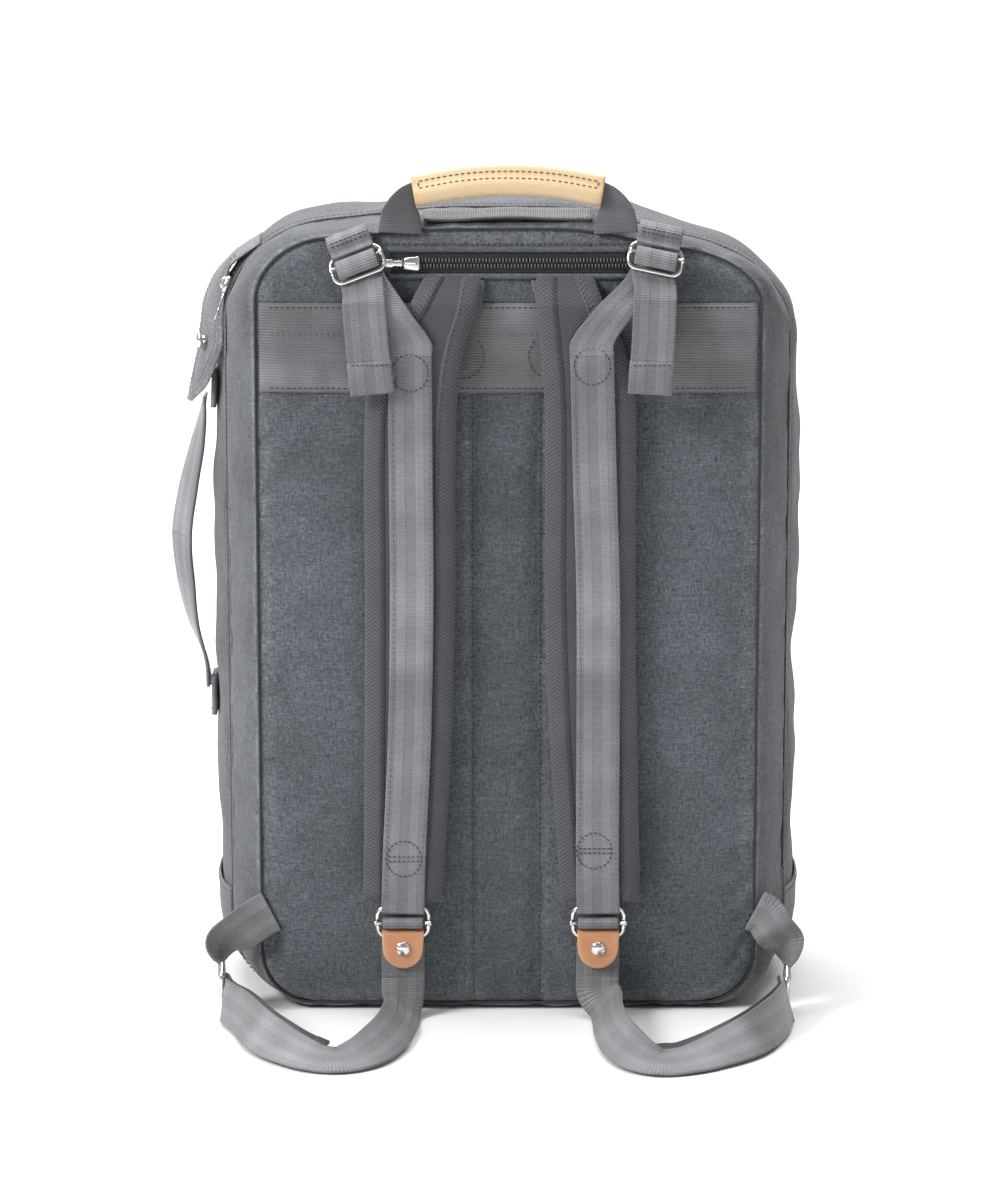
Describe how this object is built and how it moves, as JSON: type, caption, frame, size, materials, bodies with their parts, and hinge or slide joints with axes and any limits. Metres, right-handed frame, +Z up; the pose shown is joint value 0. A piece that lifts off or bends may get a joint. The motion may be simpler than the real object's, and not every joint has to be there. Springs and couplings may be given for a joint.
{
  "type": "travel backpack",
  "caption": "Boxy canvas travel backpack with padded shoulder straps, webbing adjusters, leather-wrapped carry handle, side handle and zipped compartments.",
  "frame": {"origin": "on the flat base, under the middle of the bag's body", "axes": "+Z up, -Y towards the shoulder straps and the wearer, +X to the right when the straps are faced"},
  "size_m": [0.3706, 0.2886, 0.4977],
  "materials": {
    "canvas": "waxed cotton canvas, matt",
    "canvas_light": "waxed cotton canvas, matt",
    "boot_canvas": "coated canvas, matt",
    "webbing": "ribbed cotton webbing",
    "band_webbing": "wide flat webbing",
    "twill": "twill over foam",
    "black_tape": "zip tape with coil",
    "pale_leather": "natural vegetable-tanned leather",
    "tan_leather": "tan leather, smooth",
    "nickel": "polished nickel",
    "foam": "lining over foam"
  },
  "bodies": {
    "bag": {"back_panel": "canvas", "front_pocket": "canvas", "back_gusset": "canvas_light", "fixed_seam": "canvas_light", "main_shell": "canvas_light", "base_boot": "boot_canvas", "top_pocket_liner": "foam", "back_foam": "foam", "base_pad": "foam", "laptop_sleeve": "foam", "main_zip_tape": "black_tape", "top_zip_tape": "black_tape", "front_zip_tape": "black_tape", "strap_band": "band_webbing", "side_handle_tab_upper": "webbing", "side_handle_tab_lower": "webbing", "handle_base_strip": "webbing", "strap_root_left": "twill", "upper_loop_left": "webbing", "lifter_left": "webbing", "lower_webbing_left": "webbing", "webbing_return_left": "webbing", "corner_webbing_left": "webbing", "upper_buckle_left": "nickel", "upper_buckle_bar_left": "nickel", "lower_buckle_left": "nickel", "strap_root_right": "twill", "upper_loop_right": "webbing", "lifter_right": "webbing", "lower_webbing_right": "webbing", "webbing_return_right": "webbing", "corner_webbing_right": "webbing", "upper_buckle_right": "nickel", "upper_buckle_bar_right": "nickel", "lower_buckle_right": "nickel"},
    "handle": {"handle_webbing": "webbing", "handle_grip": "pale_leather"},
    "side_handle": {"side_handle": "webbing"},
    "flap": {"storm_flap": "canvas_light", "flap_stud": "nickel"},
    "top_slider": {"top_zip_slider": "nickel"},
    "top_pull": {"top_zip_pull": "nickel"},
    "main_slider": {"main_zip_slider": "nickel"},
    "main_pull": {"main_zip_pull": "nickel"},
    "front_slider": {"front_zip_slider": "nickel"},
    "front_pull": {"front_zip_pull": "nickel"},
    "strap_left": {"strap_pad_left": "twill", "strap_webbing_left": "webbing"},
    "strap_end_left": {"end_ring_left": "nickel", "end_ring_bar_left": "nickel", "leather_tab_left": "tan_leather", "rivet_left": "nickel"},
    "tail_left": {"tail_left": "webbing"},
    "strap_right": {"strap_pad_right": "twill", "strap_webbing_right": "webbing"},
    "strap_end_right": {"end_ring_right": "nickel", "end_ring_bar_right": "nickel", "leather_tab_right": "tan_leather", "rivet_right": "nickel"},
    "tail_right": {"tail_right": "webbing"}
  },
  "joints": [
    {"name": "handle_fold", "type": "hinge", "parent": "bag", "child": "handle", "pos_m": [0, -0.0786, 0.462], "axis": [1, 0, 0], "range_deg": [-38, 75]},
    {"name": "side_handle_swing", "type": "hinge", "parent": "bag", "child": "side_handle", "pos_m": [-0.1775, 0, 0.274], "axis": [0, 0, 1], "range_deg": [-12, 12]},
    {"name": "flap_bend", "type": "hinge", "parent": "bag", "child": "flap", "pos_m": [-0.1595, -0.017, 0.447], "axis": [0, 1, 0], "range_deg": [0, 30]},
    {"name": "top_zip_slide", "type": "slide", "parent": "bag", "child": "top_slider", "axis": [1, 0, 0], "range_m": [0, 0.115]},
    {"name": "top_pull_swing", "type": "hinge", "parent": "top_slider", "child": "top_pull", "pos_m": [-0.0596, -0.0828, 0.441], "axis": [0, 0, 1], "range_deg": [0, 85]},
    {"name": "main_zip_travel", "type": "hinge", "parent": "bag", "child": "main_slider", "pos_m": [-0.102, -0.0413, 0.4082], "axis": [0, 1, 0], "range_deg": [-12, 60]},
    {"name": "main_pull_swing", "type": "hinge", "parent": "main_slider", "child": "main_pull", "pos_m": [-0.16322, -0.0413, 0.42347], "axis": [0, 1, 0], "range_deg": [0, 75]},
    {"name": "front_zip_slide", "type": "slide", "parent": "bag", "child": "front_slider", "axis": [1, 0, 0], "range_m": [0, 0.178]},
    {"name": "front_pull_swing", "type": "hinge", "parent": "front_slider", "child": "front_pull", "pos_m": [-0.0946, 0.0805, 0.342], "axis": [0, 0, -1], "range_deg": [0, 85]},
    {"name": "strap_swing_left", "type": "hinge", "parent": "bag", "child": "strap_left", "pos_m": [-0.03, -0.0855, 0.431], "axis": [-1, 0, 0], "range_deg": [0, 25], "deforming": ["lower_webbing_left", "webbing_return_left", "lifter_left"]},
    {"name": "strap_end_tilt_left", "type": "hinge", "parent": "strap_left", "child": "strap_end_left", "pos_m": [-0.061, -0.091, 0.0568], "axis": [-1, 0, 0], "range_deg": [-8, 20]},
    {"name": "tail_swing_left", "type": "hinge", "parent": "strap_left", "child": "tail_left", "pos_m": [-0.082, -0.0975, 0.433], "axis": [-1, 0, 0], "range_deg": [0, 80]},
    {"name": "strap_swing_right", "type": "hinge", "parent": "bag", "child": "strap_right", "pos_m": [0.03, -0.0855, 0.431], "axis": [-1, 0, 0], "range_deg": [0, 25], "deforming": ["lower_webbing_right", "webbing_return_right", "lifter_right"]},
    {"name": "strap_end_tilt_right", "type": "hinge", "parent": "strap_right", "child": "strap_end_right", "pos_m": [0.0524, -0.091, 0.0568], "axis": [-1, 0, 0], "range_deg": [-8, 20]},
    {"name": "tail_swing_right", "type": "hinge", "parent": "strap_right", "child": "tail_right", "pos_m": [0.0815, -0.0975, 0.436], "axis": [-1, 0, 0], "range_deg": [0, 80]}
  ]
}
